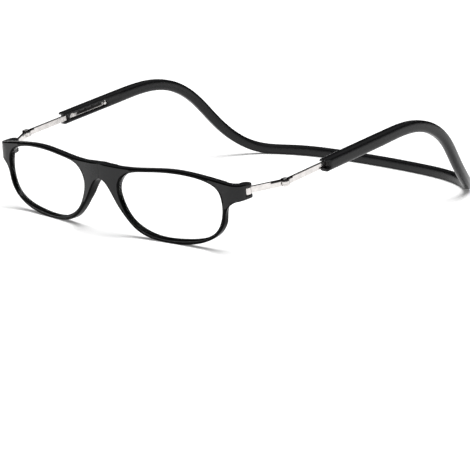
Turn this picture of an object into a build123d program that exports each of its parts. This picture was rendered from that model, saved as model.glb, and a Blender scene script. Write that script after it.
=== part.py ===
"""Reading glasses that part at a magnetic bridge, hung on a one-piece neckband.

Millimetres, +Z up, +Y towards the back of the neck, +X towards the wearer's left.
The glasses stand on the lower rims and on the back of the neckband.  The left
half is drawn, and the right half is its mirror image.
"""

import os
from math import cos, radians, sin, tan

from build123d import *

os.makedirs("parts", exist_ok=True)

# whole object
overall_depth = 178.0        # front of the bridge to the back of the neckband
front_tilt = 4.5             # degrees, the top of the front leans forward
front_wrap = 7.05            # degrees, each half turns back from the bridge
temple_slope = 8.9           # degrees, links, sliders and sleeves climb towards the back
cut_over = 2.0               # overrun of every cut

# lens and its opening in the front
opening_width = 49.7
opening_height = 26.35
lens_gap = 19.4              # between the two openings at their nose sides
lens_thickness = 1.8
lens_lip = 0.5               # lens edge that sits in the groove
groove_clearance = 0.04
lens_setback = 0.8           # front face of the front to the lens

# front half
rim_depth = 3.3
rim_top = 1.6
rim_bottom = 1.85
rim_temple = 1.6
endpiece_drop = 2.6          # top of the end piece under the height of the opening and its lower rim
bridge_height = 6.0
bridge_depth = 4.4
bridge_flat = 4.0            # half the width over which the bridge faces straight ahead
bridge_arc_share = 0.86      # of the flat, taken by the arc into the half
joint_gap = 0.06             # from the middle plane to each bridge face
nose_flank = 2.7             # rim width halfway down the nose
foot_sink = 0.12             # depth of the flats that the rims and the band rest on
front_rounding = 0.45
back_rounding = 0.5

# end piece and its fork
fork_reach = 5.5             # outer end of the opening, laid flat, to the fork's screw
fork_back = 14.9             # front of the front to the fork's screw
fork_drop = 5.15             # middle of the slot under the height of the opening and its lower rim
fork_top = 2.8               # middle of the slot to the top of the boss
fork_bottom = 2.85           # middle of the slot to the underside of the lower prong
fork_radius = 2.2
endpiece_out = 1.6           # fork's screw to the outer corner of the end piece
endpiece_run = 2.2           # back of the rim to the inner side of the fork
endpiece_bend = 5.0
fork_corner = 2.2
screw_radius = 0.7
screw_head_radius = 1.35
screw_head_height = 0.6
screw_slot_width = 0.35
screw_slot_depth = 0.3
screw_slot_turn = 35.0       # degrees
screw_end = 0.2              # end of the screw to the end of its blind hole
boss_cover = 0.7             # over the blind hole
seat_clearance = 0.02        # still pieces in one body
running_clearance = 0.05     # a pin in the hole that turns on it
side_clearance = 0.15        # a tongue between its cheeks

# metal link, elbow and slider
bar_height = 2.5
bar_thickness = 1.2
link_length = 15.8
link_splay = 28.0            # degrees, outwards from straight back
link_eye_radius = 1.9
elbow_radius = 1.75
elbow_tongue = 0.9
elbow_neck = 0.35            # from an elbow disc to the full bar beyond it
elbow_side_clearance = 0.06
elbow_pin_radius = 0.55
pin_head_radius = 0.95
pin_head_height = 0.35
pin_head_rounding = 0.2
exposed_bar = 22.0           # elbow to the mouth of the sleeve with the slider pushed in
stud_back = 23.8             # mouth of the sleeve to the stud with the slider pushed in
slider_tail = 2.2            # stud to the end of the slider
stud_radius = 0.8
stud_proud = 0.6
stud_rounding = 0.3
bar_edge = 0.25

# sleeve and neckband
sleeve_length = 34.0
slider_inset = 0.9           # the slider runs this far inwards of the sleeve's middle
sleeve_height = 5.1
sleeve_thickness = 4.4
channel_clearance = 0.12
channel_length = 32.5
window_start = 2.4
window_length = 22.8
window_height = 1.9
detent_pitch = 4.0
detent_count = 6
mouth_slot = 1.3             # depth of the notch between the two lobes of the mouth
band_height = 4.5
band_thickness = 3.6
band_corner = 1.15
band_rise = 2.18             # end of the sleeve to the middle of the band at its highest

# magnet in each bridge face
magnet_radius = 1.4
magnet_length = 3.0
magnet_recess = 0.05
magnet_edge = 0.2


def unit(across, back, up):
    return Vector(across, back, up).normalized()


# The front's own frame: x across, y up the leaning front, z out of its face.
front_up = unit(0, -sin(radians(front_tilt)), cos(radians(front_tilt)))
front_forward = unit(0, -cos(radians(front_tilt)), -sin(radians(front_tilt)))
rise = tan(radians(front_wrap))
foot_back = (lens_gap / 2 + opening_width / 2 - bridge_flat) * rise
opening_base = rim_bottom - foot_back * sin(radians(front_tilt)) - foot_sink
bridge_top = opening_base + opening_height
front_y = -overall_depth / 2 + bridge_top * sin(radians(front_tilt))
front_origin = Vector(0, front_y, 0)
fork_x = lens_gap / 2 + opening_width + fork_reach
fork_up = rim_bottom + opening_height - fork_drop
endpiece_top = rim_bottom + opening_height - endpiece_drop


def front_point(across, back, up):
    """A point given from the foot of the front in the front's own frame."""
    return front_origin + Vector(across, 0, 0) - front_forward * back + front_up * up


plan_plane = Plane(origin=front_origin, x_dir=(1, 0, 0), z_dir=front_up)
half_x = unit(cos(radians(front_wrap)), 0, 0) * cos(radians(front_wrap)) - front_forward * sin(radians(front_wrap))
half_forward = front_forward * cos(radians(front_wrap)) + Vector(sin(radians(front_wrap)), 0, 0)
half_plane = Plane(origin=front_point(bridge_flat, 0, 0), x_dir=half_x, z_dir=half_forward)

# The temple's own frame: x across, y back along the slope, z along the hinge pins.
slope_back = unit(0, cos(radians(temple_slope)), sin(radians(temple_slope)))
pin_up = unit(0, -sin(radians(temple_slope)), cos(radians(temple_slope)))
fork_point = front_point(fork_x, fork_back, fork_up)
link_across = sin(radians(link_splay))
link_back = cos(radians(link_splay))
elbow_point = fork_point + Vector(1, 0, 0) * link_length * link_across + slope_back * link_length * link_back
mouth_point = elbow_point + slope_back * exposed_bar
sleeve_mouth = mouth_point + Vector(slider_inset, 0, 0)
stud_point = mouth_point + slope_back * stud_back


def pin_plane(point, lift=0):
    """Across the hinge pins, x to the wearer's left and y back along the temple."""
    return Plane(origin=point + pin_up * lift, x_dir=(1, 0, 0), z_dir=pin_up)


def side_plane(point):
    """On the inner side of the temple, x back along it, y up, z towards the head."""
    return Plane(origin=point, x_dir=slope_back, z_dir=(-1, 0, 0))


def section_plane(point):
    """Across the temple, x outwards and y along the hinge pins."""
    return Plane(origin=point, x_dir=(1, 0, 0), z_dir=-slope_back)


# Across the bridge's end face, z into the left half.
magnet_plane = Plane(origin=front_point(0, bridge_depth / 2, bridge_top - bridge_height / 2),
                     x_dir=front_up, z_dir=(1, 0, 0))

# Outlines on the half's plane: shares of the opening's width and height, from its
# lowest point at the nose side, and of the rim's width outside it.
opening_shares = [
    (0.0, 0.69), (0.024, 0.444), (0.097, 0.228), (0.219, 0.08), (0.391, 0.004), (0.613, 0.017),
    (0.816, 0.091), (0.937, 0.224), (0.992, 0.425), (1.0, 0.653), (0.964, 0.842), (0.866, 0.941),
    (0.694, 0.994), (0.472, 1.0), (0.239, 0.964), (0.065, 0.873),
]
nose_edge_shares = [(-1.75, 0.607), (-0.62, 0.425), (0.92, 0.228)]
lower_edge_shares = [
    (0.155, 0.057, 0.0), (0.277, 0.0, -0.49), (0.414, 0.0, -0.95), (0.557, 0.0, -1.0),
    (0.74, 0.0, -0.27), (0.863, 0.063, 0.0), (0.953, 0.18, 0.0),
]
temple_edge_shares = [(0.45, 0.364), (1.35, 0.55)]
endpiece_edge_shares = [(2.6, 1.15), (4.6, 0.1), (7.5, 0.0), (12.0, 0.0)]
endpiece_top_shares = [(12.0, 0.0), (7.5, 0.1), (4.0, 0.45)]
upper_edge_shares = [(0.822, 0.34), (0.536, 0.875), (0.304, 0.375), (0.084, -0.12)]
opening_nose = (lens_gap / 2 - bridge_flat) / cos(radians(front_wrap))
opening_end = opening_nose + opening_width
opening_high = opening_base + opening_height
middle_s = -bridge_flat / cos(radians(front_wrap))
fork_s = (fork_x - bridge_flat) / cos(radians(front_wrap))
fork_low = fork_up - fork_bottom
endpiece_x = fork_x + endpiece_out
rim_end_x = fork_x - fork_radius - endpiece_run
bridge_radius = bridge_arc_share * (bridge_flat - joint_gap) / tan(radians(front_wrap / 2))
upright_limit = 0.02         # of a unit normal
looking_limit = 0.25


def opening_points(grow=0):
    """The opening's outline, or one that lies outside it all round."""
    return [(opening_nose - grow + across_share * (opening_width + 2 * grow),
             opening_base - grow + up_share * (opening_height + 2 * grow))
            for across_share, up_share in opening_shares]


def lower_points():
    points = [(middle_s, bridge_top - bridge_height)]      # the arch's top, in the middle plane
    for flank_share, up_share in nose_edge_shares:
        points.append((opening_nose + flank_share * nose_flank, opening_base + up_share * opening_height))
    for across_share, up_share, rim_share in lower_edge_shares:
        points.append((opening_nose + across_share * opening_width,
                       opening_base + up_share * opening_height + rim_share * rim_bottom))
    for rim_share, up_share in temple_edge_shares:
        points.append((opening_end + rim_share * rim_temple, opening_base + up_share * opening_height))
    for rim_share, drop_share in endpiece_edge_shares:
        points.append((opening_end + rim_share * rim_temple, fork_low - drop_share * rim_temple))
    return [(2 * middle_s - points[1][0], points[1][1])] + points


def upper_points():
    points = [(opening_end + rim_share * rim_temple, endpiece_top + up_share * rim_top)
              for rim_share, up_share in endpiece_top_shares]
    for across_share, rim_share in upper_edge_shares:
        points.append((opening_nose + across_share * opening_width, opening_high + rim_share * rim_top))
    mirrored = (2 * middle_s - points[-1][0], points[-1][1])
    return points + [(middle_s, bridge_top), mirrored]


def front_line(across):
    """Depth of the front's face behind the bridge, in plan."""
    return (across - bridge_flat) * rise


def long_edges(front_half, way):
    """Long edges of the faces that look forwards (1) or backwards (-1), the opening's last."""
    looking = [face for face in front_half.faces().filter_by(GeomType.PLANE)
               if abs(face.normal_at().dot(front_up)) < upright_limit
               and way * face.normal_at().dot(front_forward) > looking_limit]
    edges = ShapeList(edge for face in looking for edge in face.edges() if edge.length > opening_width)
    return edges.sort_by(SortBy.LENGTH)


# Left half of the front, with its end piece, fork and built-in nose rest.
with BuildPart() as left_rim:
    with BuildSketch(half_plane.offset(cut_over)) as half_outline:
        with BuildLine():
            nose_and_foot = Spline(lower_points())
            upper = Spline(upper_points())
            Line(nose_and_foot @ 1, upper @ 0)
            Line(upper @ 1, nose_and_foot @ 0)
        make_face()
    extrude(amount=-fork_back - 4 * fork_radius - cut_over)
    with BuildSketch(plan_plane.offset(-cut_over)) as plan_outline:
        with BuildLine():
            Polyline(
                (joint_gap, 0), (bridge_flat, 0), (endpiece_x, front_line(endpiece_x)),
                (fork_x + fork_radius, fork_back), (fork_x + fork_radius, fork_back + fork_radius),
                (fork_x - fork_radius, fork_back + fork_radius), (fork_x - fork_radius, fork_back - fork_radius),
                (rim_end_x, front_line(rim_end_x) + rim_depth),
                (lens_gap / 2 - bridge_depth + rim_depth, front_line(lens_gap / 2) + rim_depth),
                (lens_gap / 2 - rim_depth, bridge_depth), (joint_gap, bridge_depth), close=True)
        make_face()
        for across, back, radius in (
            (bridge_flat, 0, bridge_radius),
            (endpiece_x, front_line(endpiece_x), endpiece_bend),
            (fork_x + fork_radius, fork_back + fork_radius, fork_corner),
            (fork_x - fork_radius, fork_back + fork_radius, fork_corner),
            (fork_x - fork_radius, fork_back - fork_radius, fork_radius),
        ):
            fillet(plan_outline.vertices().sort_by_distance((across, back, 0))[0], radius)
    extrude(amount=opening_high + 2 * cut_over, mode=Mode.INTERSECT)
    with BuildSketch(half_plane) as opening_outline:
        with BuildLine():
            Spline(opening_points(), periodic=True)
        make_face()
    extrude(amount=fork_back, both=True, mode=Mode.SUBTRACT)
    fillet(long_edges(left_rim, -1), back_rounding)
    fillet(long_edges(left_rim, 1)[-1], front_rounding)
    # The slot of the fork, open to the back and to both sides.
    with BuildSketch(pin_plane(fork_point, -bar_height / 2 - side_clearance)):
        with Locations((0, fork_radius)):
            Rectangle(6 * fork_radius, 2 * (fork_radius + link_eye_radius + side_clearance))
    extrude(amount=bar_height + 2 * side_clearance, mode=Mode.SUBTRACT)
    with BuildSketch(pin_plane(fork_point, bar_height / 2 + side_clearance)):
        Circle(fork_radius)
    extrude(amount=fork_top - bar_height / 2 - side_clearance)
    with BuildSketch(pin_plane(fork_point, -fork_bottom)):
        Circle(screw_radius + seat_clearance)
    extrude(amount=fork_bottom + fork_top - boss_cover, mode=Mode.SUBTRACT)
    with BuildSketch(pin_plane(fork_point, screw_head_height - fork_bottom)):
        Circle(screw_head_radius + seat_clearance)
    extrude(amount=-screw_head_height - cut_over, mode=Mode.SUBTRACT)
    # The lens groove.
    with BuildSketch(half_plane.offset(-lens_setback)):
        with BuildLine():
            Spline(opening_points(lens_lip + groove_clearance), periodic=True)
        make_face()
    extrude(amount=-lens_thickness - 2 * groove_clearance, mode=Mode.SUBTRACT)
    # The magnet's pocket.
    with BuildSketch(magnet_plane.offset(joint_gap)):
        Circle(magnet_radius + seat_clearance)
    extrude(amount=magnet_recess + magnet_length + seat_clearance, mode=Mode.SUBTRACT)
    # The flat under the rim.
    with BuildSketch(Plane.XY):
        Rectangle(overall_depth, overall_depth)
    extrude(amount=-cut_over, mode=Mode.SUBTRACT)

with BuildPart() as left_lens:
    with BuildSketch(half_plane.offset(-lens_setback - groove_clearance)):
        with BuildLine():
            Spline(opening_points(lens_lip), periodic=True)
        make_face()
    extrude(amount=-lens_thickness)

with BuildPart() as left_bridge_magnet:
    with BuildSketch(magnet_plane.offset(joint_gap + magnet_recess)):
        Circle(magnet_radius)
    extrude(amount=magnet_length)
    chamfer(left_bridge_magnet.edges(), magnet_edge)

with BuildPart() as left_fork_screw:
    with BuildSketch(pin_plane(fork_point, -fork_bottom)):
        Circle(screw_radius)
    extrude(amount=fork_bottom + fork_top - boss_cover - screw_end)
    with BuildSketch(pin_plane(fork_point, -fork_bottom)):
        Circle(screw_head_radius)
    extrude(amount=screw_head_height - seat_clearance)
    with BuildSketch(pin_plane(fork_point, screw_slot_depth - fork_bottom)):
        Rectangle(3 * screw_head_radius, screw_slot_width, rotation=screw_slot_turn)
    extrude(amount=-screw_slot_depth - cut_over, mode=Mode.SUBTRACT)


# Link between the fork and the elbow, with an eye in the fork and two cheeks on the elbow.
elbow_x = link_length * link_across
elbow_y = link_length * link_back
elbow_half_gap = elbow_tongue / 2 + elbow_side_clearance
with BuildPart() as left_hinge_link:
    with BuildSketch(pin_plane(fork_point, -bar_height / 2)):
        Circle(link_eye_radius)
        with Locations((elbow_x, elbow_y)):
            Circle(elbow_radius)
        with Locations(Location((elbow_x / 2, elbow_y / 2), -link_splay)):
            Rectangle(bar_thickness, link_length)
    extrude(amount=bar_height)
    with BuildSketch(pin_plane(elbow_point, -elbow_half_gap)):
        Circle(elbow_radius + elbow_neck)
    extrude(amount=2 * elbow_half_gap, mode=Mode.SUBTRACT)
    with BuildSketch(pin_plane(fork_point, -bar_height / 2)):
        Circle(screw_radius + running_clearance)
        with Locations((elbow_x, elbow_y)):
            Circle(elbow_pin_radius + running_clearance)
    extrude(amount=bar_height, mode=Mode.SUBTRACT)

with BuildPart() as left_slider:
    with BuildSketch(pin_plane(elbow_point, -bar_height / 2)):
        with Locations((0, (elbow_radius + elbow_neck + exposed_bar + stud_back + slider_tail) / 2)):
            Rectangle(bar_thickness, exposed_bar + stud_back + slider_tail - elbow_radius - elbow_neck)
    extrude(amount=bar_height)
    fillet(left_slider.edges().filter_by(Axis((0, 0, 0), slope_back)), bar_edge)
    with BuildSketch(pin_plane(elbow_point, -elbow_tongue / 2)):
        Circle(elbow_radius)
        with Locations((0, elbow_radius)):
            Rectangle(bar_thickness, 2 * elbow_radius)
    extrude(amount=elbow_tongue)
    with BuildSketch(pin_plane(elbow_point, -bar_height / 2)):
        Circle(elbow_pin_radius + seat_clearance)
    extrude(amount=bar_height, mode=Mode.SUBTRACT)
    with BuildSketch(side_plane(stud_point)):
        Circle(stud_radius + seat_clearance)
    extrude(amount=bar_thickness, both=True, mode=Mode.SUBTRACT)

with BuildPart() as left_elbow_pin:
    with BuildSketch(pin_plane(elbow_point)):
        Circle(elbow_pin_radius)
    extrude(amount=bar_height / 2 + elbow_side_clearance, both=True)
    for way in (-1, 1):
        with BuildSketch(pin_plane(elbow_point, way * (bar_height / 2 + elbow_side_clearance))):
            Circle(pin_head_radius)
        extrude(amount=way * pin_head_height)
    fillet(left_elbow_pin.edges().sort_by(Axis((0, 0, 0), pin_up))[0], pin_head_rounding)
    fillet(left_elbow_pin.edges().sort_by(Axis((0, 0, 0), pin_up))[-1], pin_head_rounding)

with BuildPart() as left_slider_stud:
    with BuildSketch(side_plane(stud_point).offset(-bar_thickness / 2)):
        Circle(stud_radius)
    extrude(amount=bar_thickness + stud_proud)
    fillet(left_slider_stud.edges().sort_by(Axis.X)[0], stud_rounding)

# Neckband, with a sleeve at each end.
sleeve_end = sleeve_mouth + slope_back * sleeve_length
band_run = overall_depth / 2 - band_thickness / 2 - sleeve_end.Y
band_rest = band_height / 2 - foot_sink
band_peak = sleeve_end.Z + band_rise
route_shares = [
    (0.992, 0.224, 1.0), (0.984, 0.349, 0.947), (0.968, 0.486, 0.755), (0.936, 0.6, 0.46),
    (0.887, 0.722, 0.176), (0.809, 0.831, 0.024), (0.638, 0.927, 0.0), (0.342, 0.987, 0.0), (0.0, 1.0, 0.0),
]
section_count = 28
taper_share = 0.3            # of the route, over which the sleeve's section becomes the band's


def route_points():
    points = [sleeve_end]
    for across_share, back_share, up_share in route_shares:
        points.append(Vector(across_share * sleeve_end.X, sleeve_end.Y + back_share * band_run,
                             band_rest + up_share * (band_peak - band_rest)))
    return points


def band_section(size_share):
    thickness = band_thickness + (sleeve_thickness - band_thickness) * size_share
    height = band_height + (sleeve_height - band_height) * size_share
    RectangleRounded(thickness, height, band_corner)


with BuildPart() as neckband:
    with BuildSketch(section_plane(sleeve_mouth)):
        band_section(1)
    extrude(amount=-sleeve_length)
    with BuildLine(mode=Mode.PRIVATE) as route:
        Spline(route_points(), tangents=[slope_back, (-1, 0, 0)], tangent_scalars=[1, 1])
    for index in range(section_count + 1):
        share = index / section_count
        along = route.line % share
        side = along.cross(Vector(0, 0, 1)).normalized()
        with BuildSketch(Plane(origin=route.line @ share, x_dir=side, z_dir=-along)):
            band_section(max(0, 1 - share / taper_share))
    loft()
    # The two lobes of the mouth, the channel of the slider and the window on its inner side.
    with BuildSketch(side_plane(mouth_point)):
        Rectangle(2 * mouth_slot, bar_height + 2 * channel_clearance)
    extrude(amount=sleeve_thickness, both=True, mode=Mode.SUBTRACT)
    with BuildSketch(section_plane(mouth_point)):
        Rectangle(bar_thickness + 2 * channel_clearance, bar_height + 2 * channel_clearance)
    extrude(amount=-channel_length, mode=Mode.SUBTRACT)
    with BuildSketch(side_plane(mouth_point + slope_back * (window_start + window_length / 2))):
        SlotOverall(window_length, window_height)
        with GridLocations(detent_pitch, 0, detent_count, 1):
            with Locations((0, -window_height / 4)):
                Circle(window_height / 2)
    extrude(amount=sleeve_thickness, mode=Mode.SUBTRACT)
    # The flat that the back of the band rests on.
    with BuildSketch(Plane.XY):
        Rectangle(overall_depth, overall_depth)
    extrude(amount=-cut_over, mode=Mode.SUBTRACT)
    mirror(about=Plane.YZ)

left_pieces = {
    "rim": left_rim, "lens": left_lens, "bridge_magnet": left_bridge_magnet, "fork_screw": left_fork_screw,
    "hinge_link": left_hinge_link, "elbow_pin": left_elbow_pin, "slider": left_slider,
    "slider_stud": left_slider_stud,
}
for name, piece in left_pieces.items():
    piece.part.label = "left_" + name
    export_step(piece.part, "parts/left_" + name + ".step")
    with BuildPart() as right_piece:
        mirror(piece.part, about=Plane.YZ)
    right_piece.part.label = "right_" + name
    export_step(right_piece.part, "parts/right_" + name + ".step")
neckband.part.label = "neckband"
export_step(neckband.part, "parts/neckband.step")
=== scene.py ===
"""Reading glasses that part at a magnetic bridge, dressed for a plain studio picture.

Metres, +Z up, +Y towards the back of the neck, +X towards the wearer's left.
Shapes are worked out in millimetres and scaled when their mesh is made.
"""
from math import cos, radians, sin

import bpy
import numpy as np
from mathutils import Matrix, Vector


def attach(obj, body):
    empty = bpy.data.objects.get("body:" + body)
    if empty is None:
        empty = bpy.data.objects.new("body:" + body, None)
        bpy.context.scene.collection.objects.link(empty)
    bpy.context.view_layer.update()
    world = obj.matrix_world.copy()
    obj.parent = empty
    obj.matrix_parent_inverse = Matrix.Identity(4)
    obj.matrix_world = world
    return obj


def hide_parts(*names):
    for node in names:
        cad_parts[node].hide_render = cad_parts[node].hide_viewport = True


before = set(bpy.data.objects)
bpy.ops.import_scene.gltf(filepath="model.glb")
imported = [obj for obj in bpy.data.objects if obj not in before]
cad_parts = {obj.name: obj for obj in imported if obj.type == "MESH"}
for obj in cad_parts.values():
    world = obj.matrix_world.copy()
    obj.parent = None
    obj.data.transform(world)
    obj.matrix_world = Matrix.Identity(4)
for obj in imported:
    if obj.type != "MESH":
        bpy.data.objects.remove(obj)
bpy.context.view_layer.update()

SIDES = {"left": 1.0, "right": -1.0}
MILLIMETRE = 0.001

# The front's own sizes, as the CAD has them, in millimetres.
FRONT_TILT, FRONT_WRAP = radians(4.5), radians(7.05)
FRONT_Y = -86.8202
BRIDGE_FLAT = 4.0
LENS_GAP = 19.4
OPENING_WIDTH, OPENING_HEIGHT = 49.7, 26.35
OPENING_BASE = 1.43356
LENS_LIP, LENS_SETBACK, LENS_THICKNESS = 0.5, 0.84, 1.8

front_up = np.array((0.0, -sin(FRONT_TILT), cos(FRONT_TILT)))
front_forward = np.array((0.0, -cos(FRONT_TILT), -sin(FRONT_TILT)))
across = np.array((1.0, 0.0, 0.0))
half_x = across * cos(FRONT_WRAP) - front_forward * sin(FRONT_WRAP)
half_forward = front_forward * cos(FRONT_WRAP) + across * sin(FRONT_WRAP)
half_origin = np.array((BRIDGE_FLAT, FRONT_Y, 0.0))

# Where the left fork's pin and the left elbow are, and the slope that the metal climbs towards the back.
FORK_POINT = np.array((64.9, -73.7745, 24.148))
ELBOW = np.array((72.32, -59.99, 26.31))
TEMPLE_SLOPE = radians(8.9)
slope_back = np.array((0.0, cos(TEMPLE_SLOPE), sin(TEMPLE_SLOPE)))
pin_up = np.array((0.0, -sin(TEMPLE_SLOPE), cos(TEMPLE_SLOPE)))


def on_half(run, up, depth):
    """Points of the left half's plane, run outwards and up it, and depth behind its face."""
    return half_origin + np.multiply.outer(run, half_x) + np.multiply.outer(up, front_up) \
        - np.multiply.outer(depth, half_forward)


def spline(points, count, closed=False):
    """Cubic spline through the points, its parameter growing with the chord from point to point.

    The second derivatives come from the usual band of equations, which wraps round where the
    curve is closed, and are zero at the ends where it is open.
    """
    points = np.asarray(points, float)
    if closed:
        points = np.vstack([points, points[:1]])
    chord = np.linalg.norm(np.diff(points, axis=0), axis=1)
    slope = np.diff(points, axis=0) / chord[:, None]
    size = len(chord) if closed else len(points)
    inner = np.arange(0 if closed else 1, len(chord))
    matrix = np.eye(size)
    pull = np.zeros((size, 2))
    matrix[inner, inner] = 2 * (chord[inner - 1] + chord[inner])
    matrix[inner, (inner - 1) % size] = chord[inner - 1]
    matrix[inner, (inner + 1) % size] = chord[inner]
    pull[inner] = 6 * (slope[inner] - slope[inner - 1])
    bend = np.linalg.solve(matrix, pull)
    if closed:
        bend = np.vstack([bend, bend[:1]])
    start = np.concatenate(([0.0], np.cumsum(chord)))
    place = np.linspace(0.0, start[-1], count, endpoint=not closed)
    span = np.clip(np.searchsorted(start, place, side="right") - 1, 0, len(chord) - 1)
    whole = chord[span][:, None]
    left = (place - start[span])[:, None]
    right = whole - left
    return (bend[span] * right ** 3 + bend[span + 1] * left ** 3) / (6 * whole) \
        + (points[span] / whole - bend[span] * whole / 6) * right \
        + (points[span + 1] / whole - bend[span + 1] * whole / 6) * left


def rounded_path(points, radii, steps=14):
    """Run of straight lines whose inner corners are arcs, each tangent to both of its lines."""
    points = np.asarray(points, float)
    path = [points[:1]]
    for before, corner, after, radius in zip(points[:-2], points[1:-1], points[2:], radii):
        arrive = (corner - before) / np.linalg.norm(corner - before)
        leave = (after - corner) / np.linalg.norm(after - corner)
        turn = np.arccos(np.clip(arrive @ leave, -1, 1))
        side = leave - arrive * (arrive @ leave)
        side /= np.linalg.norm(side)
        angle = np.linspace(0, turn, steps)[:, None]
        start = corner - arrive * radius * np.tan(turn / 2)
        path.append(start + side * radius * (1 - np.cos(angle)) + arrive * radius * np.sin(angle))
    path.append(points[-1:])
    return np.vstack(path)


def run_length(path):
    """How far along a path each of its points lies."""
    return np.concatenate(([0.0], np.cumsum(np.linalg.norm(np.diff(path, axis=0), axis=1))))


def new_piece(name, corners, faces, body, replaced, slot, material):
    """Smooth mesh piece at the origin that rides on a body, stands for a CAD node and has a material."""
    mesh = bpy.data.meshes.new(name)
    mesh.from_pydata((np.asarray(corners) * MILLIMETRE).tolist(), [], faces)
    mesh.polygons.foreach_set("use_smooth", np.full(len(mesh.polygons), True))
    mesh.update()
    piece = bpy.data.objects.new(name, mesh)
    bpy.context.collection.objects.link(piece)
    mesh.materials.append(material)
    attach(piece, body)
    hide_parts(replaced)
    return piece


def closed_net(rows, turns):
    """Faces of a net that is closed both ways."""
    row, turn = np.arange(rows)[:, None], np.arange(turns)
    below, after = (row + 1) % rows, (turn + 1) % turns
    quads = np.stack([row * turns + turn, row * turns + after, below * turns + after, below * turns + turn],
                     axis=-1)
    return quads.reshape(-1, 4).tolist()


def capped_net(rows, turns):
    """Faces of a net that is closed round each row, with a pole before its first row and after its last."""
    row, turn = np.arange(rows - 1)[:, None] * turns, np.arange(turns)
    after = (turn + 1) % turns
    quads = np.stack([row + turn, row + after, row + turns + after, row + turns + turn], axis=-1)
    last, first_pole = (rows - 1) * turns, rows * turns
    fans = [np.stack([np.full(turns, first_pole), after, turn], axis=-1),
            np.stack([np.full(turns, first_pole + 1), last + turn, last + after], axis=-1)]
    return quads.reshape(-1, 4).tolist() + np.concatenate(fans).tolist()


def mirrored(corners, faces):
    """The same mesh on the wearer's right, with its faces turned so that they look outwards again."""
    return np.asarray(corners) * (-1.0, 1.0, 1.0), [tuple(reversed(face)) for face in faces]


def new_material(name):
    """Material with nodes, its tree and its Principled shader."""
    material = bpy.data.materials.new(name)
    material.use_nodes = True
    return material, material.node_tree, material.node_tree.nodes["Principled BSDF"]


def new_group(name, inputs, outputs):
    """Empty node group with named sockets: inputs give (name, kind, value), outputs (name, kind)."""
    group = bpy.data.node_groups.new(name, "ShaderNodeTree")
    for label, kind, value in inputs:
        socket = group.interface.new_socket(name=label, in_out="INPUT", socket_type="NodeSocket" + kind)
        socket.default_value = value
    for label, kind in outputs:
        group.interface.new_socket(name=label, in_out="OUTPUT", socket_type="NodeSocket" + kind)
    return group, group.nodes.new("NodeGroupInput"), group.nodes.new("NodeGroupOutput")


SURFACE = (("Color", "Color"), ("Roughness", "Float"), ("Normal", "Vector"))
GRAIN_HEIGHT, LINE_HEIGHT = 0.08 * MILLIMETRE, 0.01 * MILLIMETRE


def noise(tree, scale, detail, stretch=(1.0, 1.0, 1.0)):
    """Noise on the object's own coordinates, stretched where its scale is small."""
    place = tree.nodes.new("ShaderNodeTexCoord")
    turn = tree.nodes.new("ShaderNodeMapping")
    turn.inputs["Scale"].default_value = stretch
    pattern = tree.nodes.new("ShaderNodeTexNoise")
    pattern.inputs["Scale"].default_value = scale
    pattern.inputs["Detail"].default_value = detail
    tree.links.new(place.outputs["Object"], turn.inputs["Vector"])
    tree.links.new(turn.outputs["Vector"], pattern.inputs["Vector"])
    return pattern.outputs["Fac"]


def ramp(tree, value, source=(0.0, 1.0), target=(0.0, 1.0)):
    """Value carried from one range to another, and held at the ends."""
    carry = tree.nodes.new("ShaderNodeMapRange")
    for ends, name in ((source, "From "), (target, "To ")):
        carry.inputs[name + "Min"].default_value, carry.inputs[name + "Max"].default_value = ends
    tree.links.new(value, carry.inputs["Value"])
    return carry.outputs["Result"]


def calculated(tree, operation, *values):
    """Result of one operation on sockets or plain numbers."""
    maths = tree.nodes.new("ShaderNodeMath")
    maths.operation = operation
    for socket, value in zip(maths.inputs, values):
        if isinstance(value, float):
            socket.default_value = value
        else:
            tree.links.new(value, socket)
    return maths.outputs["Value"]


def overlap(tree, *limits):
    """Mask where every limit holds: each gives a value and where its mask is 0 and 1, in millimetres."""
    mask = 1.0
    for value, (none, full) in limits:
        part = ramp(tree, value, (none * MILLIMETRE, full * MILLIMETRE))
        mask = calculated(tree, "MULTIPLY", mask, part)
    return mask


def vector_maths(tree, operation, vector, other):
    """Node of one operation on a vector and a fixed one."""
    maths = tree.nodes.new("ShaderNodeVectorMath")
    maths.operation = operation
    maths.inputs[1].default_value = other
    tree.links.new(vector, maths.inputs[0])
    return maths


def scaled(tree, vector, factor):
    """Vector or colour times a value."""
    scale = tree.nodes.new("ShaderNodeVectorMath")
    scale.operation = "SCALE"
    tree.links.new(vector, scale.inputs[0])
    tree.links.new(factor, scale.inputs["Scale"])
    return scale.outputs["Vector"]


def relief(tree, strength, distance, height):
    """Bump node: it lifts the surface by a pattern."""
    lift = tree.nodes.new("ShaderNodeBump")
    lift.inputs["Distance"].default_value = distance
    tree.links.new(strength, lift.inputs["Strength"])
    tree.links.new(height, lift.inputs["Height"])
    return lift


def moulded_grain():
    """Moulded plastic: a fine grain that lifts the surface, and a slow drift in tone and gloss."""
    group, given, put = new_group(
        "moulded_grain",
        (("Tone", "Color", (0.01, 0.01, 0.011, 1.0)), ("Gloss", "Float", 0.35), ("Grain", "Float", 0.1),
         ("Rounding", "Float", 0.0)),
        SURFACE)
    drift = ramp(group, noise(group, scale=60.0, detail=3.0), target=(0.75, 1.25))
    group.links.new(scaled(group, given.outputs["Tone"], drift), put.inputs["Color"])
    group.links.new(calculated(group, "MULTIPLY", given.outputs["Gloss"], drift), put.inputs["Roughness"])
    soft = group.nodes.new("ShaderNodeBevel")
    soft.samples = 8
    group.links.new(given.outputs["Rounding"], soft.inputs["Radius"])
    lift = relief(group, given.outputs["Grain"], GRAIN_HEIGHT, noise(group, scale=1100.0, detail=3.0))
    group.links.new(soft.outputs["Normal"], lift.inputs["Normal"])
    group.links.new(lift.outputs["Normal"], put.inputs["Normal"])
    return group


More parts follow.
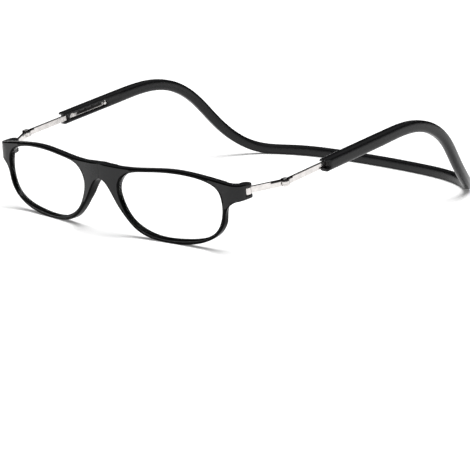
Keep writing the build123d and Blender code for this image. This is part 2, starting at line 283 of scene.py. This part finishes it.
# Painted shade on the plating, at the elbow's upper edge and on the bar's inner face in the sleeve's window,
# in millimetres from the elbow's pin: where the mask is 0 and where it is 1.
ELBOW_SHADE_START, ELBOW_SHADE_END, ELBOW_SHADE_ABOVE = (-5.8, -5.4), (4.2, 3.8), (0.5, 0.7)
SLEEVE_SHADE_START, SLEEVE_SHADE_END, SLEEVE_SHADE_ABOVE, SLEEVE_SHADE_INSIDE = (28.0, 29.5), (45.0, 44.0), (-0.6, -0.4), (-0.2, -0.4)


def painted_plating_shade(tree):
    """Mask of the painted shade on the elbow's upper edge and on the bar's inner face in the sleeve's window,
    alike on left and right.
    """
    place = tree.nodes.new("ShaderNodeTexCoord")
    parts = tree.nodes.new("ShaderNodeSeparateXYZ")
    point = tree.nodes.new("ShaderNodeCombineXYZ")
    tree.links.new(place.outputs["Object"], parts.inputs["Vector"])
    outwards = calculated(tree, "ABSOLUTE", parts.outputs["X"])
    for axis, value in (("X", outwards), ("Y", parts.outputs["Y"]), ("Z", parts.outputs["Z"])):
        tree.links.new(value, point.inputs[axis])
    away = vector_maths(tree, "SUBTRACT", point.outputs["Vector"], ELBOW * MILLIMETRE).outputs["Vector"]
    up = vector_maths(tree, "DOT_PRODUCT", away, pin_up).outputs["Value"]
    along = vector_maths(tree, "DOT_PRODUCT", away, slope_back).outputs["Value"]
    edge = overlap(tree, (along, ELBOW_SHADE_START), (along, ELBOW_SHADE_END), (up, ELBOW_SHADE_ABOVE))
    sleeve_shade = overlap(tree, (along, SLEEVE_SHADE_START), (along, SLEEVE_SHADE_END), (up, SLEEVE_SHADE_ABOVE),
                    (outwards, ELBOW[0] + np.array(SLEEVE_SHADE_INSIDE)))
    return calculated(tree, "MAXIMUM", edge, sleeve_shade)


def polish_lines_and_shade():
    """Plated metal: fine polishing lines along it, a faint smear in tone and gloss, and painted shade at the
    elbow and in the sleeve's window.
    """
    group, given, put = new_group(
        "polish_lines_and_shade",
        (("Tone", "Color", (0.8, 0.8, 0.8, 1.0)), ("Gloss", "Float", 0.2), ("Lines", "Float", 0.1),
         ("Shade", "Float", 0.0)),
        SURFACE)
    smear = noise(group, scale=500.0, detail=4.0)
    # Painted shade: the tone is darkened by Shade where the mask is 1.
    shade = calculated(group, "MULTIPLY", given.outputs["Shade"], painted_plating_shade(group))
    light = calculated(group, "MULTIPLY", ramp(group, smear, target=(0.62, 1.28)),
                       ramp(group, shade, target=(1.0, 0.0)))
    rough = calculated(group, "MULTIPLY", given.outputs["Gloss"], ramp(group, smear, target=(0.6, 1.4)))
    lines = noise(group, scale=1800.0, detail=2.0, stretch=(1.0, 0.05, 1.0))
    lift = relief(group, given.outputs["Lines"], LINE_HEIGHT, lines)
    group.links.new(scaled(group, given.outputs["Tone"], light), put.inputs["Color"])
    group.links.new(rough, put.inputs["Roughness"])
    group.links.new(lift.outputs["Normal"], put.inputs["Normal"])
    return group


def finished(name, group, values, metallic=0.0, specular=0.5):
    """Material whose colour, roughness and normal come from a group with this material's own values."""
    material, tree, shader = new_material(name)
    effect = tree.nodes.new("ShaderNodeGroup")
    effect.node_tree = group
    for label, value in values.items():
        effect.inputs[label].default_value = value
    for label, socket in (("Color", "Base Color"), ("Roughness", "Roughness"), ("Normal", "Normal")):
        tree.links.new(effect.outputs[label], shader.inputs[socket])
    shader.inputs["Metallic"].default_value = metallic
    shader.inputs["Specular IOR Level"].default_value = specular
    return material


def clear_plastic(name):
    """Clear lens: light passes to the floor without a dark shadow, as it does through a real one."""
    material, tree, shader = new_material(name)
    shader.inputs["Base Color"].default_value = (1.0, 1.0, 1.0, 1.0)
    shader.inputs["Roughness"].default_value = 0.0
    shader.inputs["IOR"].default_value = 1.2
    shader.inputs["Transmission Weight"].default_value = 1.0
    path = tree.nodes.new("ShaderNodeLightPath")
    passing = tree.nodes.new("ShaderNodeBsdfTransparent")
    choice = tree.nodes.new("ShaderNodeMixShader")
    tree.links.new(path.outputs["Is Shadow Ray"], choice.inputs[0])
    tree.links.new(shader.outputs["BSDF"], choice.inputs[1])
    tree.links.new(passing.outputs["BSDF"], choice.inputs[2])
    tree.links.new(choice.outputs["Shader"], tree.nodes["Material Output"].inputs["Surface"])
    return material


moulded, polished = moulded_grain(), polish_lines_and_shade()
FRONT_BLACK = finished(
    "satin_black_front", moulded,
    {"Tone": (0.008, 0.0082, 0.009, 1.0), "Gloss": 0.30, "Grain": 0.35}, specular=0.28)
BAND_BLACK = finished(
    "satin_black_band", moulded,
    {"Tone": (0.004, 0.0041, 0.0046, 1.0), "Gloss": 0.26, "Grain": 0.55, "Rounding": 2.2 * MILLIMETRE},
    specular=0.27)
# Painted shade for the rim: a darker black with little sheen, for its rounded edges, opening and underside.
PAINTED_EDGE_SHADE = finished(
    "painted_shade_edges", moulded,
    {"Tone": (0.0012, 0.0012, 0.0013, 1.0), "Gloss": 0.24, "Grain": 0.05}, specular=0.05)
# Shade sets how dark the painted shade at the elbow and in the sleeve's window is.
PLATED = finished(
    "bright_plating", polished,
    {"Tone": (0.66, 0.635, 0.62, 1.0), "Gloss": 0.16, "Lines": 0.20, "Shade": 0.97}, metallic=1.0)
SCREW = finished(
    "screw_plating", polished,
    {"Tone": (0.55, 0.54, 0.53, 1.0), "Gloss": 0.26, "Lines": 0.20}, metallic=1.0)
MAGNET = finished(
    "magnet_plating", polished,
    {"Tone": (0.55, 0.55, 0.57, 1.0), "Gloss": 0.32, "Lines": 0.15}, metallic=1.0)
CLEAR = clear_plastic("clear_lens")

FINISH = {"rim": FRONT_BLACK, "lens": CLEAR, "bridge_magnet": MAGNET, "fork_screw": SCREW,
          "hinge_link": PLATED, "elbow_pin": SCREW, "slider": PLATED, "slider_stud": PLATED}


def set_finish(node, material):
    """Gives a CAD piece its material."""
    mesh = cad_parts[node].data
    mesh.materials.clear()
    mesh.materials.append(material)


for side in SIDES:
    for part, material in FINISH.items():
        set_finish(side + "_" + part, material)
set_finish("neckband", BAND_BLACK)


# Lenses: shares of the opening, from its lowest corner at the nose.
OPENING_SHARES = (
    (0.0, 0.69), (0.024, 0.444), (0.097, 0.228), (0.219, 0.08), (0.391, 0.004), (0.613, 0.017),
    (0.816, 0.091), (0.937, 0.224), (0.992, 0.425), (1.0, 0.653), (0.964, 0.842), (0.866, 0.941),
    (0.694, 0.994), (0.472, 1.0), (0.239, 0.964), (0.065, 0.873))
opening_nose = (LENS_GAP / 2 - BRIDGE_FLAT) / cos(FRONT_WRAP)


def opening_curve(grow, count):
    """The opening's outline, or one that lies outside it all round: a closed spline through its shares."""
    shares = np.array(OPENING_SHARES)
    corner = np.array((opening_nose, OPENING_BASE)) - grow
    size = np.array((OPENING_WIDTH, OPENING_HEIGHT)) + 2 * grow
    return spline(corner + shares * size, count, closed=True)


def lens_surface(turns=144, rings=20, spacing=0.8, crown=0.75, back_crown=0.35):
    """Lens: the outline shrunk towards its middle by a share r, its face raised by crown times 1 - r squared.

    The front and the back are the same net, joined round the edge, so the lens is closed. Its rows run
    from the front's middle to the back's, so the faces are turned over to look outwards.
    """
    outline = opening_curve(LENS_LIP, turns)
    middle = outline.mean(axis=0)
    shares = np.linspace(0.0, 1.0, rings + 1)[1:] ** spacing
    net = middle + shares[:, None, None] * (outline - middle)
    front_depth = LENS_SETBACK - crown * (1 - shares ** 2)
    back_depth = LENS_SETBACK + LENS_THICKNESS - back_crown * (1 - shares ** 2)
    rows = [on_half(net[..., 0], net[..., 1], np.broadcast_to(depth[:, None], net.shape[:2]))
            for depth in (front_depth, back_depth)]
    poles = [on_half(middle[0], middle[1], depth)[None]
             for depth in (LENS_SETBACK - crown, LENS_SETBACK + LENS_THICKNESS - back_crown)]
    corners = np.concatenate([rows[0].reshape(-1, 3), rows[1][::-1].reshape(-1, 3), *poles])
    return corners, [face[:1] + face[:0:-1] for face in capped_net(2 * rings, turns)]


lens_corners, lens_faces = lens_surface()
for side, way in SIDES.items():
    shape = (lens_corners, lens_faces) if way > 0 else mirrored(lens_corners, lens_faces)
    new_piece(side + "_curved_lens", *shape, side + "_front", side + "_lens", "lens", CLEAR)


# The front in plan: its face and its back, from the bridge round the end piece to the fork, as x and depth
# behind the bridge's face. JOINT_GAP is from the middle to where a half begins.
BRIDGE_DEPTH, JOINT_GAP = 4.4, 0.02
ENDPIECE_X, FORK_X, FORK_BACK, FORK_UP = 66.5, 64.9, 14.9, 23.05
FORK_RADIUS, FORK_BOTTOM, SLOT_HALF, SLOT_REACH = 2.2, 2.85, 1.4, 2.05
BACK_CORNERS, BACK_END_X = ((6.4, BRIDGE_DEPTH), (8.6, 4.005), (60.5, 10.287)), 62.62
FACE_RADII, BACK_RADII = (55.0, 5.0), (2.0, 2.0, 1.5)
rise = np.tan(FRONT_WRAP)
corner_back = (ENDPIECE_X - BRIDGE_FLAT) * rise
tongue_back = FORK_BACK - SLOT_REACH
tongue_share = (tongue_back - corner_back) / (FORK_BACK - corner_back)
tongue_x = ENDPIECE_X + (FORK_X + FORK_RADIUS - ENDPIECE_X) * tongue_share
face_path = rounded_path(
    [(JOINT_GAP, 0), (BRIDGE_FLAT, 0), (ENDPIECE_X, corner_back), (tongue_x, tongue_back)], FACE_RADII)
back_path = rounded_path(
    [(JOINT_GAP, BRIDGE_DEPTH), *BACK_CORNERS, (BACK_END_X, tongue_back)], BACK_RADII)
face_run, back_run = run_length(face_path), run_length(back_path)
# Places on the two paths that lie across from each other.
FACE_KEYS, BACK_KEYS = (JOINT_GAP, 6.9, 9.0, 59.6), (JOINT_GAP, 6.4, 8.6, 59.2)
face_stops = np.append(np.interp(FACE_KEYS, face_path[:, 0], face_run), face_run[-1])
back_stops = np.append(np.interp(BACK_KEYS, back_path[:, 0], back_run), back_run[-1])
face_plane = (face_path[:, 0] - BRIDGE_FLAT) * cos(FRONT_WRAP) + face_path[:, 1] * sin(FRONT_WRAP)


def plan_points(run, path, length):
    """Points of a path at the given distances along it."""
    return np.stack([np.interp(run, length, path[:, 0]), np.interp(run, length, path[:, 1])], axis=-1)


def in_front(plan, up):
    """Points from their place in plan, x and depth behind the bridge's face, and height up the front."""
    return across * plan[..., :1] - front_forward * plan[..., 1:] + front_up * up[..., None] \
        + np.array((0.0, FRONT_Y, 0.0))


# The outer outline: its own widths and heights, then its points as shares of them and of the opening's size.
RIM_TOP, RIM_BOTTOM, RIM_TEMPLE = 1.6, 1.85, 1.6
BRIDGE_HEIGHT, NOSE_FLANK, ENDPIECE_TOP = 6.0, 2.7, 25.6
NOSE_SHARES = ((-1.75, 0.607), (-0.62, 0.425), (0.92, 0.228))
LOWER_SHARES = ((0.155, 0.057, 0.0), (0.277, 0.0, -0.49), (0.414, 0.0, -0.95), (0.557, 0.0, -1.0),
                (0.74, 0.0, -0.27), (0.863, 0.063, 0.0), (0.953, 0.18, 0.0))
TEMPLE_SHARES = ((0.45, 0.364), (1.35, 0.55))
ENDPIECE_LOW_SHARES = ((2.6, 1.15), (4.6, 0.1), (7.5, 0.0), (12.0, 0.0))
ENDPIECE_TOP_SHARES = ((12.0, 0.0), (7.5, 0.1), (4.0, 0.45))
UPPER_SHARES = ((0.822, 0.34), (0.536, 0.875), (0.304, 0.375), (0.084, -0.12))
SPLINE_POINTS = 900


def front_outline(count):
    """The front half's outer outline, laid flat as run along the face and height, evenly spaced all round.

    Its lower edge is one spline, from the bridge's arch round the nose and the rim to the end piece, and
    its upper edge is another, back to the bridge. Both are cut off where the half ends.
    """
    size = np.array((OPENING_WIDTH, OPENING_HEIGHT))
    corner = np.array((opening_nose, OPENING_BASE))
    end = opening_nose + OPENING_WIDTH
    top = OPENING_BASE + OPENING_HEIGHT
    middle = -BRIDGE_FLAT / cos(FRONT_WRAP)
    nose = corner + np.array(NOSE_SHARES) * (NOSE_FLANK, OPENING_HEIGHT)
    lower = np.array(LOWER_SHARES)
    foot = corner + lower[:, :2] * size + lower[:, 2:] * (0, RIM_BOTTOM)
    temple = np.array(TEMPLE_SHARES) * (RIM_TEMPLE, OPENING_HEIGHT) + (end, OPENING_BASE)
    low_end = np.array(ENDPIECE_LOW_SHARES) * (RIM_TEMPLE, -RIM_TEMPLE) + (end, FORK_UP - FORK_BOTTOM)
    top_end = np.array(ENDPIECE_TOP_SHARES) * (RIM_TEMPLE, RIM_TOP) + (end, ENDPIECE_TOP)
    upper = np.array(UPPER_SHARES) * (OPENING_WIDTH, RIM_TOP) + (opening_nose, top)
    arch = np.array([(2 * middle - nose[0, 0], nose[0, 1]), (middle, top - BRIDGE_HEIGHT)])
    brow = np.array([(middle, top), (2 * middle - upper[-1, 0], upper[-1, 1])])
    pieces = []
    for points in (np.vstack([arch, nose, foot, temple, low_end]), np.vstack([top_end, upper, brow])):
        curve = spline(points, SPLINE_POINTS)
        pieces.append(curve[(curve[:, 0] > face_plane[0]) & (curve[:, 0] < face_plane[-1])])
    edge = np.vstack(pieces)
    flat = np.stack([np.interp(edge[:, 0], face_plane, face_run), edge[:, 1]], axis=-1)
    flat = np.vstack([(0.0, pieces[0][0, 1]), flat[:len(pieces[0])], (face_run[-1], pieces[0][-1, 1]),
                      (face_run[-1], pieces[1][0, 1]), flat[len(pieces[0]):], (0.0, pieces[1][-1, 1])])
    flat = np.vstack([flat, flat[:1]])
    length = run_length(flat)
    even = np.linspace(0.0, length[-1], count, endpoint=False)
    return plan_points(even, flat, length)


def outward(outline):
    """Unit normals of a closed outline that runs anticlockwise."""
    along = np.roll(outline, -1, axis=0) - np.roll(outline, 1, axis=0)
    normal = np.stack([along[:, 1], -along[:, 0]], axis=-1)
    return normal / np.linalg.norm(normal, axis=1)[:, None]


def softened(values, reach):
    """Running mean round a closed outline."""
    return np.mean([np.roll(values, shift) for shift in range(-reach, reach + 1)], axis=0)


FACE_ROWS, EDGE_STEPS = (0.05, 0.2, 0.4, 0.6, 0.8, 0.95), 6
OPENING_POINTS = 720
EVENING = 9                     # points to each side that even out a line's direction
WIDEST_ROUNDING = 0.42          # share of the section's width
LEAST_LEAN = 0.55, 0.5          # cosine between a line and the normal of the outer edge and of the opening
SEAM_ENDS = 0.02, 2.5           # where the outer rounding grows from the bridge's seam to its full radius


def front_surface(count=420, inner=0.45, outer=0.6, back=0.5, seam=0.04):
    """Front half: straight lines carry a section from the opening to the outer outline.

    Each line joins a point of the outline to the point of the opening that lies in its direction from
    the opening's middle, with the directions evened out, so no two lines cross. Along it the section
    is a rounded bar: quarter circles of the given radii join its face, its outer wall, its back and
    the wall of the opening. The flat net is then bent round the plan's two paths, and what would go
    under the table lies on it.
    """
    edge = front_outline(count)
    opening = opening_curve(0.0, OPENING_POINTS)
    opening[:, 0] = np.interp(opening[:, 0], face_plane, face_run)
    middle = opening.mean(axis=0)
    away = opening - middle
    bearing = np.unwrap(np.arctan2(away[:, 1], away[:, 0]))
    turning = np.unwrap(np.arctan2(edge[:, 1] - middle[1], edge[:, 0] - middle[0]))
    even = np.linspace(0, 2 * np.pi, count, endpoint=False)
    turning = even + softened(turning - even, EVENING)
    order = np.argsort(np.mod(bearing, 2 * np.pi))
    reach = np.interp(np.mod(turning, 2 * np.pi), np.mod(bearing, 2 * np.pi)[order],
                      np.linalg.norm(away, axis=1)[order], period=2 * np.pi)
    hole = middle + np.stack([np.cos(turning), np.sin(turning)], axis=-1) * reach[:, None]
    width = np.linalg.norm(edge - hole, axis=1)
    ray = (edge - hole) / width[:, None]
    lean_out = np.clip((outward(edge) * ray).sum(axis=1), LEAST_LEAN[0], 1)
    lean_in = np.clip((outward(hole) * ray).sum(axis=1), LEAST_LEAN[1], 1)
    widest = WIDEST_ROUNDING * width
    outer_radius = np.interp(edge[:, 0], SEAM_ENDS, (seam, outer))
    back_radius = np.minimum(back, outer_radius)
    out_reach = np.minimum(outer_radius / softened(lean_out, 2), widest)
    back_reach = np.minimum(back_radius / softened(lean_out, 2), widest)
    in_reach = np.minimum(inner / lean_in, widest)
    back_in_reach = np.minimum(back / lean_in, widest)
    angle = np.linspace(0, np.pi / 2, EDGE_STEPS)[:, None]
    rows = np.array(FACE_ROWS)[:, None]
    one = np.ones(count)
    # Each step gives rows of distance along the line, and of depth from the face or else from the back.
    steps = [
        (in_reach * (1 - np.cos(angle)), inner * (1 - np.sin(angle)) * one, None),
        (in_reach + (width - in_reach - out_reach) * rows, 0 * rows * one, None),
        (width - out_reach * (1 - np.sin(angle)), outer_radius * (1 - np.cos(angle)), None),
        (width - back_reach * (1 - np.cos(angle)), None, back_radius * (1 - np.sin(angle))),
        (width - back_reach - (width - back_in_reach - back_reach) * rows, None, 0 * rows * one),
        (back_in_reach * (1 - np.sin(angle)), None, back * (1 - np.cos(angle)) * one)]
    distance, near, far = (
        np.vstack([np.full(step[0].shape, np.nan) if step[part] is None else step[part] for step in steps])
        for part in range(3))
    flat = hole + ray * distance[..., None]
    run = np.clip(flat[..., 0], 0.0, face_run[-1])
    face = plan_points(run, face_path, face_run)
    rear = plan_points(np.interp(run, face_stops, back_stops), back_path, back_run)
    thick = np.linalg.norm(rear - face, axis=-1)
    share = np.where(np.isnan(near), 1 - far / thick, near / thick)[..., None]
    corners = in_front(face + (rear - face) * share, flat[..., 1])
    corners[..., 2] = np.maximum(corners[..., 2], 0.0)
    return corners, edge, outward(edge)


PRONG_FRONT, PRONG_INSET, PRONG_POINTS = 2.6, 0.25, 96
PRONG_MIDDLE, PRONG_CORE = (0.0, -0.4), 0.4


def prong_surface(low, high, lean, rounding=0.5, steps=6):
    """Prong of the fork: a slab with a round end and rounded edges, its top leaning by a share of y.

    Rows run round its outline: a small one of PRONG_CORE of its size in the flat bottom, quarter
    circles up the bottom's and the top's edges, and a small one in the top.
    """
    angle = np.linspace(0, np.pi, 40)
    arc = FORK_RADIUS * np.stack([np.cos(angle), np.sin(angle)], axis=-1)
    front_corner = (FORK_RADIUS - PRONG_INSET, -PRONG_FRONT)
    outline = np.vstack([front_corner, arc, (-FORK_RADIUS, -PRONG_FRONT), front_corner])
    length = run_length(outline)
    outline = plan_points(np.linspace(0, length[-1], PRONG_POINTS, endpoint=False), outline, length)
    middle = np.array(PRONG_MIDDLE)
    away = outline - middle
    reach = np.linalg.norm(away, axis=1)
    turn = np.linspace(0, np.pi / 2, steps)[:, None]
    distance = np.vstack([PRONG_CORE * reach, reach - rounding * (1 - np.sin(turn)),
                          reach - rounding * (1 - np.cos(turn)), PRONG_CORE * reach])
    height = np.concatenate([[low], low + rounding * (1 - np.cos(turn[:, 0])),
                             high - rounding * (1 - np.sin(turn[:, 0])), [high]])[:, None] + 0 * distance
    net = middle + away * (distance / reach)[..., None]
    height = height + lean * net[..., 1] * (height - low) / (high - low)
    poles = np.array([(*middle, low), (*middle, high + lean * middle[1])])
    flat = np.vstack([np.concatenate([net, height[..., None]], axis=-1).reshape(-1, 3), poles])
    corners = FORK_POINT + flat[:, :1] * across + flat[:, 1:2] * slope_back + flat[:, 2:] * pin_up
    return corners, capped_net(len(height), len(outline))


def disc_surface(centre, axis, side, profile, turns=48):
    """Turned piece: a profile of (radius, height) points carried round an axis, with a pole at each end."""
    angle = np.linspace(0, 2 * np.pi, turns, endpoint=False)
    other = np.cross(axis, side)
    ring = np.cos(angle)[:, None] * side + np.sin(angle)[:, None] * other
    profile = np.asarray(profile, float)
    rows = centre + profile[1:-1, :1, None] * ring + profile[1:-1, 1:, None] * axis
    poles = centre + profile[[0, -1], 1:] * axis
    return np.vstack([rows.reshape(-1, 3), poles]), capped_net(len(profile) - 2, turns)


def joined(*shapes):
    """Several closed surfaces as one mesh."""
    corners, faces, count = [], [], 0
    for more, net in shapes:
        corners.append(more)
        faces += [tuple(corner + count for corner in face) for face in net]
        count += len(more)
    return np.vstack(corners), faces


net, rim_edge, rim_normal = front_surface()
row_count, turn_count = net.shape[:2]
PRONG_TOP, TOP_LEAN, LOW_ROUNDING, PRONG_LIFT = 3.0, -0.077, 0.35, 0.05
front_shape = joined(
    (net.reshape(-1, 3), closed_net(row_count, turn_count)),
    prong_surface(SLOT_HALF, PRONG_TOP, TOP_LEAN),
    prong_surface(PRONG_LIFT - FORK_BOTTOM, -SLOT_HALF, 0.0, LOW_ROUNDING))

# Painted shade: near-black with little sheen on the rounded edges, in the opening and under the rim; satin
# black on the rest.
NARROW_RIM, CLEAR_OF_SEAM, BELOW_FORK = 1.3, 0.05, 1.0
FACING_DOWN, FACING_OUT = -0.5, 0.3
outer_row, back_row = EDGE_STEPS + len(FACE_ROWS), 2 * EDGE_STEPS + len(FACE_ROWS) - 1
past_seam = rim_edge[:, 0] > CLEAR_OF_SEAM
narrow = np.linalg.norm(net[outer_row] - net[EDGE_STEPS - 1], axis=-1) < NARROW_RIM
underside = rim_normal[:, 1] < FACING_DOWN
temple = (rim_normal[:, 0] > FACING_OUT) & (rim_edge[:, 1] < FORK_UP - FORK_BOTTOM - BELOW_FORK)
painted_shade_faces = np.zeros((row_count, turn_count), int)
painted_shade_faces[:EDGE_STEPS] = 1
painted_shade_faces[-EDGE_STEPS:] = 1
painted_shade_faces[EDGE_STEPS + 2:outer_row] = narrow
painted_shade_faces[outer_row:back_row] = past_seam
painted_shade_faces[back_row:back_row + EDGE_STEPS] = underside | temple

MAGNET_PROFILE = ((0, 0.01), (0.6, 0.01), (1.2, 0.01), (1.34, 0.03), (1.4, 0.09), (1.4, 2.9), (1.3, 3.0),
                  (0.6, 3.0), (0, 3.0))
magnet_middle = in_front(np.array((0.0, BRIDGE_DEPTH / 2)),
                         np.array(OPENING_BASE + OPENING_HEIGHT - BRIDGE_HEIGHT / 2))
magnet_shape = disc_surface(magnet_middle, across, front_up, MAGNET_PROFILE)

for side, way in SIDES.items():
    turned = (lambda shape: shape) if way > 0 else (lambda shape: mirrored(*shape))
    rim = new_piece(side + "_rounded_rim", *turned(front_shape), side + "_front", side + "_rim",
                    "frame_plastic", FRONT_BLACK)
    # Second material: the painted shade on the marked edge faces.
    rim.data.materials.append(PAINTED_EDGE_SHADE)
    rim.data.polygons.foreach_set("material_index", np.concatenate(
        [painted_shade_faces.ravel(), np.zeros(len(rim.data.polygons) - row_count * turn_count, int)]))
    new_piece(side + "_magnet_face", *turned(magnet_shape), side + "_front", side + "_bridge_magnet",
              "magnet", MAGNET)


# Stage, light and camera.
FLOOR_HALF, FLOOR_GLOW = 8.0, 0.16


def studio_floor():
    """Pale floor that reads as white, and keeps the object's shadow."""
    mesh = bpy.data.meshes.new("studio_floor")
    corners = [(x * FLOOR_HALF, y * FLOOR_HALF, 0) for x, y in ((-1, -1), (1, -1), (1, 1), (-1, 1))]
    mesh.from_pydata(corners, [], [(0, 1, 2, 3)])
    floor = bpy.data.objects.new("studio_floor", mesh)
    bpy.context.collection.objects.link(floor)
    material, tree, shader = new_material("studio_floor")
    shader.inputs["Base Color"].default_value = (0.96, 0.96, 0.96, 1.0)
    shader.inputs["Roughness"].default_value = 1.0
    shader.inputs["Specular IOR Level"].default_value = 0.0
    shader.inputs["Emission Color"].default_value = (1.0, 1.0, 1.0, 1.0)
    path = tree.nodes.new("ShaderNodeLightPath")
    seen = path.outputs["Is Camera Ray"]
    for kind in ("Is Glossy Ray", "Is Transmission Ray"):
        seen = calculated(tree, "MAXIMUM", seen, path.outputs[kind])
    tree.links.new(calculated(tree, "MULTIPLY", seen, FLOOR_GLOW), shader.inputs["Emission Strength"])
    mesh.materials.append(material)
    return floor


def sinking_floor(floor, feet):
    """The floor goes down with the lowest foot, so that it cuts nothing off where a pose lowers a piece."""
    drop = floor.driver_add("location", 2).driver
    drop.type = "MIN"
    for number, (body, place) in enumerate(feet):
        foot = bpy.data.objects.new("foot_%d" % number, None)
        bpy.context.collection.objects.link(foot)
        foot.location = place
        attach(foot, body)
        height = drop.variables.new()
        height.type = "TRANSFORMS"
        height.targets[0].id = foot
        height.targets[0].transform_type = "LOC_Z"
        height.targets[0].transform_space = "WORLD_SPACE"


def broad_sun(name, travel, strength, width, mirrored_in_metal=True):
    """Distant lamp that shines along a direction, as wide in degrees as a soft box seen from the object."""
    lamp = bpy.data.lights.new(name, "SUN")
    lamp.energy = strength
    lamp.angle = radians(width)
    holder = bpy.data.objects.new(name, lamp)
    bpy.context.collection.objects.link(holder)
    holder.rotation_euler = (-Vector(travel)).to_track_quat("Z", "Y").to_euler()
    holder.visible_glossy = mirrored_in_metal


def dim_room(horizon, walls, ceiling):
    """World: bright at the horizon, like the table's far end, dim like a studio's walls, paler overhead."""
    world = bpy.data.worlds.new("studio_room")
    bpy.context.scene.world = world
    world.use_nodes = True
    tree = world.node_tree
    place = tree.nodes.new("ShaderNodeTexCoord")
    split = tree.nodes.new("ShaderNodeSeparateXYZ")
    tree.links.new(place.outputs["Generated"], split.inputs["Vector"])
    height = split.outputs["Z"]
    brighter = calculated(tree, "MAXIMUM", ramp(tree, height, (0.05, 0.12), (horizon, walls)),
                          ramp(tree, height, (0.5, 0.95), (walls, ceiling)))
    tree.links.new(brighter, tree.nodes["Background"].inputs["Strength"])
    tree.nodes["Background"].inputs["Color"].default_value = (1.0, 1.0, 1.0, 1.0)


# Feet of the floor: the table's own height, and the rims' lowest points near 15 places along each half.
FOOT_PLACES, FOOT_REACH = np.linspace(6.0, 62.0, 15), 2.0
rim_points = net[::2].reshape(-1, 3)
feet = [("neckband", (0.0, 0.0, 0.0))]
for run in FOOT_PLACES:
    near = rim_points[np.abs(rim_points[:, 0] - run) < FOOT_REACH]
    x, y, z = near[near[:, 2].argmin()] * MILLIMETRE
    feet += [(side + "_front", (way * x, y, z)) for side, way in SIDES.items()]
sinking_floor(studio_floor(), feet)
dim_room(horizon=1.0, walls=0.02, ceiling=0.5)
broad_sun("top_light", travel=(-0.05, -0.12, -1.0), strength=3.0, width=44.0, mirrored_in_metal=False)
broad_sun("front_light", travel=(-0.6, 0.75, -0.75), strength=0.3, width=70.0)

# The camera as fitted to the photograph: its bearing, how far it is from where it looks, and its lens.
AZIMUTH, ELEVATION = radians(42.551), radians(13.22)
DISTANCE = 1.0581
FOCAL_PX, FRAME_PX, SENSOR = 2523.57, 470, 36.0
target = np.array((-0.00114, -0.008236, -0.015113))
backwards = np.array((sin(AZIMUTH) * cos(ELEVATION), -cos(AZIMUTH) * cos(ELEVATION), sin(ELEVATION)))
camera_data = bpy.data.cameras.new("photo_camera")
camera_data.sensor_width = SENSOR
camera_data.lens = FOCAL_PX / FRAME_PX * SENSOR
camera = bpy.data.objects.new("photo_camera", camera_data)
bpy.context.collection.objects.link(camera)
camera.location = target + DISTANCE * backwards
camera.rotation_euler = (radians(90) - ELEVATION, 0, AZIMUTH)
bpy.context.scene.camera = camera
bpy.context.scene.view_settings.view_transform = "Standard"
